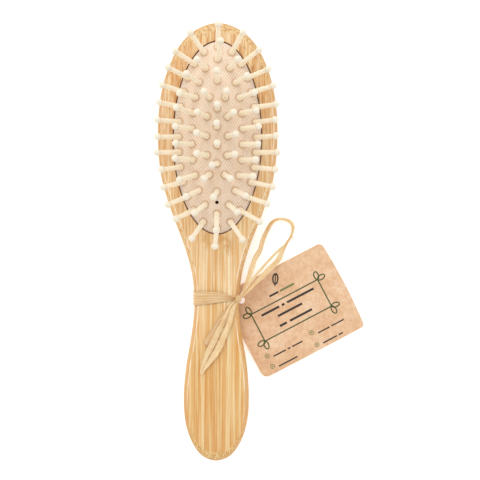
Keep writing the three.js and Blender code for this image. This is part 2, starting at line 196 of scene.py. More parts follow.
# Free raffia: lines that start or end in the knot.
LOOP_ROUTE = [
    (8.7, -22.6, 13.5), (9.6, -21.4, 13.4), (10.4, -20.2, 13.3), (11.5, -17.4, 13), (12.7, -13.9, 12.4),
    (13.8, -10.4, 11.2), (14.9, -7.2, 9.8), (17, -3.4, 7.5), (18.3, 0.9, 5.2), (19.9, 4.5, 3.8),
    (21, 6.6, 2.9), (22.7, 8.4, 2.2), (24.6, 9.1, 1.7), (26.9, 9, 1.5), (29.1, 8.2, 1.5), (30.4, 6.3, 1.7),
    (30.2, 3.9, 2.4), (29.4, 1.7, 3), (27.7, -1, 3.5), (25.8, -4.6, 4.6), (24.2, -7.5, 5.6),
    (20.3, -11.4, 8), (16.3, -15.3, 10.5), (12.7, -18.8, 12.4), (9.8, -21.7, 13.4), (9.1, -22.4, 13.4),
]
SPLIT_ROUTE = [
    (28.3, -0.3, 3.6), (25, -3.2, 4.8), (21.9, -6.2, 6.5), (18.7, -9.7, 8.8), (15.4, -13.2, 11),
    (12.2, -17.3, 12.9), (9.5, -21.6, 13.6),
]
# Frayed hairs at the loop's bend: the line that they share, and each one's tip.
HAIR_ROOT = [(29.7, 2.2, 2.9), (30.1, 1.8, 2.9)]
HAIR_TIPS = [(30.6, 1.1, 3.1), (30.9, 1.8, 3), (30.2, 0.4, 3.3)]
LONG_TAIL_ROUTE = [
    (8.4, -23, 13.5), (6.7, -24.6, 13.3), (5.2, -28, 13.3), (3.95, -31.4, 13.3), (2.4, -34.9, 13.2),
    (0.9, -38.4, 13.1), (-0.7, -41.9, 13.05), (-2.7, -45.4, 12.95), (-4.6, -48.9, 12.8),
    (-6.1, -52.4, 12.55),
]
SHORT_TAIL_ROUTE = [
    (7.9, -23, 13.2), (6.3, -24.6, 12.9), (3.8, -27.9, 12.6), (1.4, -31.4, 12.5), (-0.7, -34.9, 12.5),
    (-2.8, -38.4, 12.5), (-4.1, -40.6, 12.5),
]
STRIP_THICKNESS = 0.14 * MM

# Camera, light and floor.
CAMERA_AT = (9.05 * MM, 0.5 * MM, 420 * MM)
CAMERA_TURN = math.radians(0.29)
CAMERA_LENS = 77.9
CAMERA_SENSOR = 36
KEY_AT = (-0.12, 0.6, 0.72)
KEY_SIZE = 0.7
KEY_POWER = 2.75
SKY = {"From Min": 0, "From Max": 0.3, "To Min": 1.05, "To Max": 0.91}
FLOOR_REACH = 4.0
FLOOR_DROP = 0.02 * MM
FLOOR_GLOW = 0.4


# -------- lines and meshes
def smooth_line(points, steps, closed=False):
    """A centripetal Catmull-Rom line through points in mm, as steps evenly spaced points in metres."""
    given = np.array(points, float) * MM
    if closed:
        given = np.vstack([given[-1:], given, given[:2]])
    else:
        given = np.vstack([2 * given[:1] - given[1:2], given, 2 * given[-1:] - given[-2:-1]])
    fine = []
    for a, b, c, d in zip(given, given[1:], given[2:], given[3:]):
        t1 = np.linalg.norm(b - a) ** 0.5
        t2 = t1 + np.linalg.norm(c - b) ** 0.5
        t3 = t2 + np.linalg.norm(d - c) ** 0.5
        for t in np.linspace(t1, t2, 24, endpoint=False):
            ab = a + (b - a) * t / t1
            bc = b + (c - b) * (t - t1) / (t2 - t1)
            cd = c + (d - c) * (t - t2) / (t3 - t2)
            abc = ab + (bc - ab) * t / t2
            bcd = bc + (cd - bc) * (t - t1) / (t3 - t1)
            fine.append(abc + (bcd - abc) * (t - t1) / (t2 - t1))
    fine.append(given[-2])
    return even_line(np.array(fine), steps, closed)


def even_line(line, steps, closed=False):
    """line again, as evenly spaced points. A closed line's last point isn't its first."""
    lengths = np.linalg.norm(np.diff(line, axis=0), axis=1)
    reach = np.concatenate([[0], np.cumsum(lengths)])
    wanted = np.linspace(0, reach[-1], steps, endpoint=not closed)
    return np.stack([np.interp(wanted, reach, line[:, axis]) for axis in range(line.shape[1])], axis=1)


def full_turn(steps):
    return np.linspace(0, 2 * math.pi, steps, endpoint=False)


def turn_to(direction):
    """The turn that takes +Z to direction."""
    return Vector((0, 0, 1)).rotation_difference(direction).to_matrix()


def unit(vectors):
    return vectors / np.linalg.norm(vectors, axis=-1, keepdims=True)


def ahead_of(line, closed):
    """The line's direction at each of its points."""
    if closed:
        return unit(np.roll(line, -1, axis=0) - np.roll(line, 1, axis=0))
    return unit(np.gradient(line, axis=0))


def ring_faces(rings, steps, first=0, flip=False, closed=False):
    """Quads between rings of steps points, each closed on itself. closed joins the last to the first."""
    faces = []
    for i in range(rings if closed else rings - 1):
        near, far = first + i * steps, first + (i + 1) % rings * steps
        for j in range(steps):
            k = (j + 1) % steps
            face = (near + j, far + j, far + k, near + k)
            faces.append(face[::-1] if flip else face)
    return faces


def fan_faces(pole, ring, steps, flip=False):
    """Triangles between a pole and a ring of steps points that starts at ring."""
    faces = [(pole, ring + j, ring + (j + 1) % steps) for j in range(steps)]
    return [(a, c, b) for a, b, c in faces] if flip else faces


def prism_faces(steps, first=0):
    """A solid between two rings of steps points, with flat ends."""
    middle, last = first + steps, first + 2 * steps - 1
    return ring_faces(2, steps, first) + [tuple(range(first, middle)), tuple(range(last, middle - 1, -1))]


def add_object(name, data):
    thing = bpy.data.objects.new(name, data)
    bpy.context.scene.collection.objects.link(thing)
    return thing


def shade(mesh, sharp):
    """Smooth shading, with edges kept sharp above an angle in degrees."""
    mesh.shade_smooth()
    mesh.set_sharp_from_angle(angle=math.radians(sharp))


def add_mesh(name, points, faces, *looks, sharp=40):
    mesh = bpy.data.meshes.new(name)
    mesh.from_pydata([tuple(p) for p in points], [], faces)
    for look in looks:
        mesh.materials.append(look)
    shade(mesh, sharp)
    return add_object(name, mesh)


def add_solid(name, top_pole, rings, bottom_pole, *looks):
    """A closed solid through equal rings of points, from a pole above to a pole below."""
    steps = len(rings[0])
    points = [top_pole, *[p for ring in rings for p in ring], bottom_pole]
    last = len(points) - 1
    faces = fan_faces(0, 1, steps) + ring_faces(len(rings), steps, first=1)
    return add_mesh(name, points, faces + fan_faces(last, last - steps, steps, flip=True), *looks)


def add_values(piece, name, values):
    piece.data.attributes.new(name, "FLOAT", "POINT").data.foreach_set("value", values)


def cut(piece, cutter):
    """Cuts cutter out of piece, and takes cutter away."""
    step = piece.modifiers.new("cut", "BOOLEAN")
    step.operation = "DIFFERENCE"
    step.solver = "EXACT"
    step.material_mode = "TRANSFER"
    step.object = cutter
    graph = bpy.context.evaluated_depsgraph_get()
    mesh = bpy.data.meshes.new_from_object(piece.evaluated_get(graph), depsgraph=graph)
    piece.modifiers.clear()
    piece.data = mesh
    bpy.data.objects.remove(cutter)


def place(piece, body, slot, *nodes):
    """Puts a piece on its CAD body, in place of CAD nodes, which it hides. slot is not used."""
    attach(piece, body)
    if nodes:
        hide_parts(*nodes)
    return piece


# -------- materials
def colour(code):
    """An sRGB colour code as linear light."""
    parts = [int(code[i:i + 2], 16) / 255 for i in (0, 2, 4)]
    return tuple(p / 12.92 if p <= 0.04045 else ((p + 0.055) / 1.055) ** 2.4 for p in parts) + (1,)


def grey(value):
    return (value, value, value, 1)


class Look:
    """One material, with short calls that add a node and wire its inputs. A colour may be an sRGB code."""

    def __init__(self, name):
        self.material = bpy.data.materials.new(name)
        self.material.use_nodes = True
        self.tree = self.material.node_tree
        self.surface = self.tree.nodes["Principled BSDF"]
        self.at = self.add("ShaderNodeTexCoord", {}, output="Object")

    def wire(self, socket, value):
        if isinstance(value, bpy.types.NodeSocket):
            self.tree.links.new(value, socket)
        else:
            socket.default_value = colour(value) if isinstance(value, str) else value

    def add(self, kind, inputs, output=0, **settings):
        node = self.tree.nodes.new(kind)
        for key, value in settings.items():
            setattr(node, key, value)
        for key, value in inputs.items():
            self.wire(node.inputs[key], value)
        return node.outputs[output]

    def calc(self, operation, a, b=0.0):
        return self.add("ShaderNodeMath", {0: a, 1: b}, operation=operation)

    def times(self, a, b):
        return self.calc("MULTIPLY", a, b)

    def plus(self, a, b):
        return self.calc("ADD", a, b)

    def minus(self, a, b):
        return self.calc("SUBTRACT", a, b)

    def scale_and_add(self, value, scale, offset):
        return self.add("ShaderNodeMath", {0: value, 1: scale, 2: offset}, operation="MULTIPLY_ADD")

    def parts(self, vector):
        node = self.tree.nodes.new("ShaderNodeSeparateXYZ")
        self.wire(node.inputs[0], vector)
        return node.outputs[0], node.outputs[1], node.outputs[2]

    def texture(self, kind, scales, inputs, on=None):
        """A texture with scales, three or one for all, to a metre of the object, or of on."""
        scales = [float(scale) for scale in np.broadcast_to(scales, 3)]
        vector = self.add("ShaderNodeMapping", {"Vector": self.at if on is None else on, "Scale": scales})
        return self.add(kind, {"Vector": vector, "Scale": 1.0, **inputs})

    def noise(self, scales, on=None, **inputs):
        inputs = {"Detail": 3.0, "Roughness": 0.5, "Distortion": 0.0, **inputs}
        return self.texture("ShaderNodeTexNoise", scales, inputs, on)

    def cells(self, scales):
        return self.texture("ShaderNodeTexVoronoi", scales, {})

    def step(self, value, low, high, start=0.0, end=1.0):
        """start at low and before, end at high and past it, and smooth in between."""
        inputs = {"Value": value, "From Min": low, "From Max": high, "To Min": start, "To Max": end}
        return self.add("ShaderNodeMapRange", inputs, interpolation_type="SMOOTHSTEP")

    def ramp(self, value, stops, interpolation="LINEAR"):
        node = self.tree.nodes.new("ShaderNodeValToRGB")
        node.color_ramp.interpolation = interpolation
        elements = node.color_ramp.elements
        while len(elements) < len(stops):
            elements.new(0.5)
        for element, (at, shade) in zip(elements, stops):
            element.position = at
            element.color = colour(shade) if isinstance(shade, str) else shade
        self.wire(node.inputs[0], value)
        return node.outputs[0]

    def mix(self, share, a, b, blend="MIX"):
        node = self.tree.nodes.new("ShaderNodeMix")
        node.data_type = "RGBA"
        node.blend_type = blend
        for socket, value in ((0, share), (6, a), (7, b)):
            self.wire(node.inputs[socket], value)
        return node.outputs[2]

    def tints(self, base, *rows):
        """base with colours over it. A row is a pattern, where it starts, where it is full, share, colour."""
        for pattern, low, high, share, tint in rows:
            base = self.mix(self.step(pattern, low, high, 0.0, share), base, tint)
        return base

    def done(self, base, roughness, relief=None, **others):
        """The material, with its surface wired. relief is a height, a depth in metres and a strength."""
        inputs = {"Base Color": base, "Roughness": roughness}
        if relief:
            height, depth, strength = relief
            bump = {"Height": height, "Distance": depth, "Strength": strength}
            inputs["Normal"] = self.add("ShaderNodeBump", bump)
        inputs.update({key.replace("_", " "): value for key, value in others.items()})
        for key, value in inputs.items():
            self.wire(self.surface.inputs[key], value)
        return self.material


# The bamboo board's strips, as the x where each one starts, in mm, and how pale it is.
STRIPS = [
    (-24, 0.4), (-20.6, 0.66), (-16.9, 0.3), (-12.8, 0.6), (-8.6, 0.4), (-6.2, 0.76), (-4.35, 0.5),
    (-1.56, 0.28), (0.2, 0.6), (1.54, 0.42), (2.5, 0.9), (5.94, 0.5), (9.3, 0.68), (13.4, 0.36),
    (17.5, 0.7), (21.2, 0.44),
]
# Its glue lines, as x in mm and how dark they are.
GLUE_LINES = [(-16.9, 0.5), (-8.6, 0.55), (-4.35, 0.8), (-1.56, 1.0), (1.54, 0.8), (5.94, 0.6), (13.4, 0.5)]
GLUE_WIDTH = 0.22
STRIP_SPAN = 24
# Growth rings of the cane that show as brown marks: x, y, half-width and half-length in mm, and how flecked.
NODE_MARKS = [(4.8, -0.8, 2.4, 5, 0.5), (1, 1.5, 3, 3, 0.12), (-4, 0.4, 1.8, 4, 0.2)]
# The oil's tint along the brush, as y in mm and tint: most where the hand holds it, least at the waist.
OIL_TINTS = [(-88, (0.88, 0.8, 0.62, 1)), (-45, (0.9, 0.84, 0.66, 1)), (-14, (0.98, 1.02, 1.04, 1)),
             (12, (0.97, 1.0, 1.0, 1)), (40, (0.87, 0.84, 0.82, 1)), (88, (0.84, 0.81, 0.72, 1))]
OIL_SPAN = 90


def on_span(look, value, span, stops, interpolation="LINEAR"):
    """A ramp over value from -span to span. value is in metres, and the span and its stops are in mm."""
    share = look.scale_and_add(value, 0.5 / (span * MM), 0.5)
    return look.ramp(share, [((at + span) / (2 * span), shade) for at, shade in stops], interpolation)


def bamboo(name, arris=0.0):
    """Laminated bamboo: strips of the board along Y, glue lines, fibres, node marks and dotted end grain,
    painted shade on the sloping edges, and, with arris, a painted highlight on the arris.
    """
    look = Look(name)
    x, y, _z = look.parts(look.at)
    drift = look.times(look.minus(look.noise((40, 9, 40)), 0.5), 0.8 * MM)
    across = look.plus(x, drift)
    tone = on_span(look, across, STRIP_SPAN, [(start, grey(pale)) for start, pale in STRIPS], "CONSTANT")
    lines = [(-STRIP_SPAN, grey(0))]
    for middle, depth in GLUE_LINES:
        lines += [(middle - GLUE_WIDTH, grey(0)), (middle, grey(depth)), (middle + GLUE_WIDTH, grey(0))]
    glue = on_span(look, across, STRIP_SPAN, lines)
    fibre = look.noise((2300, 34, 2300), Detail=4, Roughness=0.6)
    streak = look.noise((1150, 10, 1150), Roughness=0.6)
    flame = look.noise((1500, 170, 1500), Detail=4, Roughness=0.6, Distortion=0.3)
    broad = look.noise((120, 14, 120), Detail=2)
    wood = look.tints(
        look.ramp(tone, [(0.25, "DFAA6A"), (0.5, "EBC28A"), (0.9, "F5DCB0")]),
        (broad, 0.35, 0.65, 0.4, "EBB984"), (fibre, 0.5, 0.62, 0.7, "F9E5C0"),
        (fibre, 0.49, 0.37, 0.7, "D8933C"), (streak, 0.52, 0.62, 0.62, "DE9A46"),
        (streak, 0.46, 0.36, 0.5, "F8E3BC"),
    )
    towards_top = look.step(y, 15 * MM, 70 * MM, 0.12, 1.0)
    for low, high, depth, tint in ((0.52, 0.64, 0.75, "C27A30"), (0.45, 0.34, 0.6, "FBE9C8")):
        flamed = look.times(look.step(flame, low, high), towards_top)
        wood = look.mix(look.times(flamed, depth), wood, tint)
    wood = look.mix(look.times(glue, look.step(streak, 0.3, 0.6, 0.35, 0.9)), wood, "CC8636")

    flecks = look.noise((2200, 420, 2200), Roughness=0.7)
    ragged = look.times(look.minus(look.noise((420, 300, 420)), 0.5), 3.2)
    for mark_x, mark_y, half_x, half_y, flecked in NODE_MARKS:
        across_mark = look.scale_and_add(x, 1 / (half_x * MM), -mark_x / half_x)
        along_mark = look.scale_and_add(y, 1 / (half_y * MM), -mark_y / half_y)
        squared = look.plus(look.calc("POWER", across_mark, 2), look.calc("POWER", along_mark, 2))
        inside = look.step(look.plus(squared, ragged), 1.3, -0.2)
        wood = look.mix(look.times(inside, 0.5), wood, "D4923F")
        wood = look.mix(look.times(inside, look.step(flecks, 0.52, 0.64, 0.0, flecked)), wood, "8A5626")

    normal = look.add("ShaderNodeNewGeometry", {}, output="Normal")
    _nx, normal_y, normal_z = look.parts(normal)
    facing_end = look.step(look.calc("ABSOLUTE", normal_y), 0.07, 0.26)
    dots = look.ramp(look.cells((1500, 480, 1500)), [(0.15, "CA9452"), (0.4, "DFB272"), (0.62, "F2D8AA")])
    wood = look.mix(look.times(facing_end, 0.9), wood, dots)
    # Painted shade: darker honey where the surface tilts away from straight up, on the rounded edges and
    # sides.
    wood = look.tints(wood, (normal_z, 0.97, 0.55, 0.55, "D0954E"))
    wood = look.mix(1.0, wood, on_span(look, y, OIL_SPAN, OIL_TINTS), blend="MULTIPLY")
    # With arris, a painted highlight: a pale, broken line on the arris strip of the long sides, fading out
    # towards both ends.
    if arris:
        arris_painted_highlight = look.step(look.noise((500, 60, 500)), 0.38, 0.58, 0.15, arris)
        fade = look.times(look.step(y, 64 * MM, 50 * MM), look.step(y, -74 * MM, -60 * MM))
        wood = look.mix(look.times(arris_painted_highlight, fade), wood, "F9E6CA")
    height = look.minus(look.plus(look.times(fibre, 0.7), look.times(streak, 0.5)), look.times(glue, 0.4))
    return look.done(wood, look.step(fibre, 0.3, 0.7, 0.4, 0.56), (height, 0.07 * MM, 0.7))


def painted_pocket_shade():
    """Dark brown bamboo on the pocket's walls and mouth: painted shade for the gap round the cushion."""
    look = Look("bamboo_painted_pocket_shade")
    pocket_mottle = look.noise((500, 500, 900), Detail=4)
    wood = look.ramp(pocket_mottle, [(0.3, "6E3B1C"), (0.55, "8E5630"), (0.8, "B07C48")])
    return look.done(wood, look.step(pocket_mottle, 0.3, 0.7, 0.6, 0.8), (pocket_mottle, 0.05 * MM, 0.6))


def rubber():
    """Beige rubber with fine embossed lines that cross along its middle, with painted shade in their grooves
    and round the pins' feet, where it is pressed in.
    """
    look = Look("cushion_rubber")
    x, y, _z = look.parts(look.at)
    side = look.scale_and_add(look.minus(look.noise(160), 0.5), 10 * MM, x)
    grooves = []
    for turn, start, full in ((-HATCH_ANGLE, -6 * MM, 5 * MM), (HATCH_ANGLE, 6 * MM, -5 * MM)):
        across = look.times(x, math.sin(turn) * 2 * math.pi / HATCH_PITCH)
        phase = look.scale_and_add(y, math.cos(turn) * 2 * math.pi / HATCH_PITCH, across)
        wave = look.scale_and_add(look.calc("SINE", phase), 0.5, 0.5)
        grooves.append(look.times(look.step(wave, 0.45, 0.85), look.step(side, start, full, 0.2, 1.0)))
    groove = look.calc("MAXIMUM", *grooves)
    cloud = look.noise(260)
    grain = look.noise(5200, Detail=2)
    skin = look.tints("F4E2CE", (cloud, 0.35, 0.7, 1.0, "EFD7BE"), (grain, 0.4, 0.7, 0.3, "FDF0DF"))
    # Painted shade in the embossed grooves: darker lines, stronger towards -Y than towards the head.
    groove_painted_shade = look.step(y, -28 * MM, 12 * MM, 0.75, 0.42)
    skin = look.mix(look.times(groove, groove_painted_shade), skin, "C49878")
    # Painted shade round each pin's foot, from the mesh's share near the pins.
    painted_pin_shade = look.add("ShaderNodeAttribute", {}, output="Fac", attribute_name="painted_pin_shade")
    skin = look.tints(skin, (painted_pin_shade, 0.02, 0.5, 0.45, "C2966C"))
    height = look.minus(look.times(grain, 0.25), groove)
    return look.done(skin, look.step(grain, 0.2, 0.8, 0.6, 0.78), (height, 0.09 * MM, 0.8))


def nylon():
    """Cream moulded nylon, a little greyer at the ball."""
    look = Look("pin_nylon")
    along = look.add("ShaderNodeAttribute", {}, output="Fac", attribute_name="along")
    body = look.ramp(along, [(0.0, "FAEFD8"), (0.4, "FBF2DF"), (0.8, "F8EDD8"), (0.92, "EBE1CD")])
    body = look.tints(body, (look.noise(420), 0.45, 0.75, 0.2, "F0DFBC"))
    grain = look.noise(3600, Detail=2)
    return look.done(body, look.step(grain, 0.3, 0.7, 0.34, 0.5), (grain, 0.02 * MM, 0.5),
                     Subsurface_Weight=0.1, Subsurface_Radius=(1.0, 0.8, 0.55), Subsurface_Scale=0.8 * MM)


def raffia(name, base, pale, dark):
    """Dry palm strip with fibres along it, read from the strip's own length and width."""
    look = Look(name)
    across, along, _w = look.parts(look.add("ShaderNodeUVMap", {}, uv_map="strip"))
    strip_at = look.add("ShaderNodeCombineXYZ", {0: across, 1: along})
    fine = look.noise((6500, 120, 1), on=strip_at, Detail=4, Roughness=0.65)
    wide = look.noise((2600, 60, 1), on=strip_at)
    patch = look.noise(300, Detail=2)
    strip = look.tints(base, (wide, 0.35, 0.68, 1.0, pale), (fine, 0.5, 0.3, 0.75, dark),
                       (fine, 0.56, 0.72, 0.6, "F8E3B8"), (patch, 0.4, 0.75, 0.4, "D8A460"))
    height = look.plus(fine, look.times(wide, 0.8))
    rough = look.step(fine, 0.3, 0.7, 0.42, 0.68)
    return look.done(strip, rough, (height, 0.09 * MM, 0.9), Sheen_Weight=0.15)


def kraft():
    """Uncoated kraft board: cloudy brown with short fibres and small specks."""
    look = Look("kraft_card")
    cloud = look.noise(150, Detail=5, Roughness=0.65)
    mottle = look.noise(750, Detail=4, Roughness=0.6)
    hairs = look.noise((900, 5200, 900), Distortion=1.5)
    cross_hairs = look.noise((5200, 1100, 900), Distortion=1.5)
    card = look.tints(
        look.ramp(cloud, [(0.3, "DAAE86"), (0.5, "E5BE98"), (0.7, "EFD0B0")]),
        (mottle, 0.45, 0.68, 0.55, "D3A37A"), (mottle, 0.42, 0.25, 0.45, "F0D2B0"),
        (hairs, 0.62, 0.74, 0.5, "C08E62"), (cross_hairs, 0.62, 0.74, 0.45, "F5DCBE"),
        (look.cells(420), 0.09, 0.03, 0.55, "A87749"),
    )
    height = look.plus(look.plus(hairs, cross_hairs), mottle)
    return look.done(card, look.step(mottle, 0.3, 0.7, 0.78, 0.92), (height, 0.05 * MM, 0.6))


def ink(name, shade, groove_painted_shade):
    """Thin printing ink, where the card's fibres show through a little."""
    look = Look(name)
    wear = look.noise(2800, Detail=4, Roughness=0.7)
    cover = look.tints(shade, (wear, 0.5, 0.78, groove_painted_shade, "C99E74"))
    return look.done(cover, look.step(wear, 0.3, 0.7, 0.7, 0.85), (wear, 0.02 * MM, 0.5))


def plain_floor():
    look = Look("floor")
    cloud = look.noise(6, Detail=2)
    pale = look.tints("F8F8F8", (cloud, 0.3, 0.7, 1.0, "FAFAFA"))
    return look.done(pale, 0.9, Emission_Color=grey(1), Emission_Strength=FLOOR_GLOW)


# -------- camera and light
def add_camera():
    """Looks straight down on the brush, from above the gap between the handle and the tag."""
    camera = add_object("camera", bpy.data.cameras.new("camera"))
    camera.location = CAMERA_AT
    camera.rotation_euler.z = CAMERA_TURN
    camera.data.lens = CAMERA_LENS
    camera.data.sensor_width = CAMERA_SENSOR
    camera.data.clip_start = 10 * MM
    bpy.context.scene.camera = camera


def add_studio():
    """A white sky a little brighter low down, one broad soft lamp and a plain pale floor."""
    world = bpy.data.worlds.new("studio")
    world.use_nodes = True
    tree = world.node_tree
    background = tree.nodes["Background"]
    background.inputs["Color"].default_value = (1, 1, 1, 1)
    height = tree.nodes.new("ShaderNodeSeparateXYZ")
    tree.links.new(tree.nodes.new("ShaderNodeTexCoord").outputs["Generated"], height.inputs[0])
    strength = tree.nodes.new("ShaderNodeMapRange")
    for socket, value in SKY.items():
        strength.inputs[socket].default_value = value
    tree.links.new(height.outputs["Z"], strength.inputs["Value"])
    tree.links.new(strength.outputs[0], background.inputs["Strength"])
    bpy.context.scene.world = world
    bpy.context.scene.view_settings.view_transform = "Standard"

    lamp = bpy.data.lights.new("key", "AREA")
    lamp.shape = "DISK"
    lamp.size = KEY_SIZE
    lamp.energy = KEY_POWER
    holder = add_object("key", lamp)
    holder.location = KEY_AT
    holder.rotation_euler = (-Vector(KEY_AT)).to_track_quat("-Z", "Y").to_euler()

    corners = [(x * FLOOR_REACH, y * FLOOR_REACH, 0) for x, y in ((-1, -1), (1, -1), (1, 1), (-1, 1))]
    floor = add_mesh("floor", corners, [(0, 1, 2, 3)], plain_floor())
    floor.location.z = -FLOOR_DROP


# -------- raffia
def rolled(line, roll):
    """Each point's direction across an open strip: level, then turned about the line by roll in degrees."""
    forward = ahead_of(line, False)
    level = unit(np.cross(forward, (0, 0, 1)))
    up = np.cross(level, forward)
    angle = np.radians(np.broadcast_to(roll, len(line)))[:, None]
    return level * np.cos(angle) + up * np.sin(angle)


def strip_mesh(line, half_width, sides, pleats, fold, seed, closed=False):
    """Points, faces and strip UVs of one pleated strip, its half_width and fold in metres, one or many."""
    count = len(line)
    rng = np.random.default_rng(seed)
    across = 4 * math.ceil(pleats) + 3
    shares = np.linspace(-1, 1, across)[None]
    half = np.broadcast_to(half_width, count)[:, None]
    fold = np.broadcast_to(fold, count)[:, None]
    forward = ahead_of(line, closed)
    sides = unit(sides - forward * (sides * forward).sum(1)[:, None])
    ups = np.cross(sides, forward)
    turns = np.linspace(0, 2 * math.pi, count, endpoint=not closed)[:, None]
    drift = 0.5 * np.sin(turns + rng.uniform(0, 6)) + 0.3 * np.sin(3 * turns + rng.uniform(0, 6))
    wave = np.sin(math.pi * pleats * shares + rng.uniform(0, 6) + drift)
    ragged = 1 + 0.05 * np.sin(7 * turns + rng.uniform(0, 6)) + 0.03 * np.sin(13 * turns + rng.uniform(0, 6))
    offset = shares * half * ragged
    middle = line[:, None] + sides[:, None] * offset[..., None] + ups[:, None] * (wave * fold)[..., None]
    lift = ups[:, None] * STRIP_THICKNESS / 2
    rings = np.concatenate([middle + lift, (middle - lift)[:, ::-1]], axis=1)
    ring_size = 2 * across
    reach = np.concatenate([[0], np.cumsum(np.linalg.norm(np.diff(line, axis=0), axis=1))])
    flat = np.stack([offset + seed * 7 * MM, np.broadcast_to(reach[:, None], offset.shape)], axis=2)
    flat = np.concatenate([flat, flat[:, ::-1]], axis=1)
    faces = ring_faces(count, ring_size, closed=closed)
    if not closed:
        for start, flip in ((0, False), ((count - 1) * ring_size, True)):
            for k in range(across - 1):
                corners = (start + k, start + k + 1, start + ring_size - 2 - k, start + ring_size - 1 - k)
                faces.append(corners[::-1] if flip else corners)
    return rings.reshape(-1, 3), faces, flat.reshape(-1, 2)


def add_strips(name, strips, look, *nodes):
    """One piece of several strips, in place of CAD nodes."""
    points, faces, flats = [], [], []
    start = 0
    for strip_points, strip_faces, flat in strips:
        points.append(strip_points)
        flats.append(flat)
        faces += [tuple(start + corner for corner in face) for face in strip_faces]
        start += len(strip_points)
    piece = add_mesh(name, np.concatenate(points), faces, look, sharp=60)
    flats = np.concatenate(flats)
    layer = piece.data.uv_layers.new(name="strip")
    corners = np.zeros(len(piece.data.loops), int)
    piece.data.loops.foreach_get("vertex_index", corners)
    layer.data.foreach_set("uv", flats[corners].astype(np.float32).ravel())
    return place(piece, "brush", "raffia", *nodes)


def along_line(line, values):
    """values, as pairs of share of the length and number, at each point of line."""
    shares = np.linspace(0, 1, len(line))
    return np.interp(shares, [share for share, _ in values], [value for _, value in values])


def raffia_loop(look):
    """The bow's one loop, and the thin strand that has split off it."""
    line = smooth_line(LOOP_ROUTE, 160)
    width = along_line(line, [(0, 0.5), (0.07, 0.75), (0.16, 1.15), (0.26, 0.95), (0.38, 0.95), (0.44, 1.0),
                              (0.55, 0.95), (0.6, 0.85), (0.64, 0.7), (0.72, 1.15), (0.8, 1.0), (0.92, 0.8),
                              (1, 0.5)]) * MM
    roll = along_line(line, [(0, 0), (0.3, 8), (0.41, 45), (0.47, 58), (0.53, 40), (0.58, 52), (0.64, 40),
                             (0.72, 10), (0.8, -10), (1, 0)])
    fold = along_line(line, [(0, 0.25), (0.2, 0.14), (0.6, 0.1), (0.9, 0.18), (1, 0.25)]) * MM
    strip = strip_mesh(line, width, rolled(line, roll), 2, fold, 3)
    piece = add_strips("raffia_bow_loop", [strip], look, "raffia_loop")
    split_line = smooth_line(SPLIT_ROUTE, 70)
    split_width = along_line(split_line, [(0, 0.2), (0.15, 0.6), (0.5, 0.55), (1, 0.5)]) * MM
    strands = [strip_mesh(split_line, split_width, rolled(split_line, 20), 1, 0.08 * MM, 4)]
    for seed, tip in enumerate(HAIR_TIPS, start=20):
        hair_line = smooth_line([*HAIR_ROOT, tip], 10)
        strands.append(strip_mesh(hair_line, 0.09 * MM, rolled(hair_line, 30), 1, 0.01 * MM, seed))
    return piece, line, add_strips("raffia_split_strand", strands, look)


def raffia_tails(look, pale_look):
    """The long tail, creased into two strips side by side, and the short one under it."""
    long_line = smooth_line(LONG_TAIL_ROUTE, 90)
    sideways = rolled(long_line, 0)
    spread = along_line(long_line, [(0, 0.3), (0.12, 0.7), (0.3, 1.2), (0.6, 1.5), (0.75, 1.3), (0.9, 0.65),
                                    (1, 0.2)])[:, None] * MM
    width = along_line(long_line, [(0, 0.45), (0.12, 0.72), (0.3, 1.08), (0.6, 1.3), (0.75, 1.15),
                                   (0.9, 0.66), (1, 0.25)]) * MM
    fold = along_line(long_line, [(0, 0.3), (0.5, 0.12), (1, 0.08)]) * MM
    drop = np.array((0, 0, 0.1 * MM))
    upper = strip_mesh(long_line - sideways * spread, width, rolled(long_line, -17), 1.5, fold, 5)
    lower = strip_mesh(long_line + sideways * spread - drop, width, rolled(long_line, 15), 1.5, fold, 6)
    long_tail = add_strips("raffia_long_tail", [upper, lower], look, "raffia_tail_long")
    short_line = smooth_line(SHORT_TAIL_ROUTE, 60)
    short_width = along_line(short_line, [(0, 0.5), (0.3, 1.0), (0.9, 1.2), (1, 1.05)]) * MM
    short_strip = strip_mesh(short_line, short_width, rolled(short_line, 0), 1.5, 0.08 * MM, 8)
    short_tail = add_strips("raffia_short_tail", [short_strip], pale_look, "raffia_tail_short")
    return long_tail, long_line, short_tail


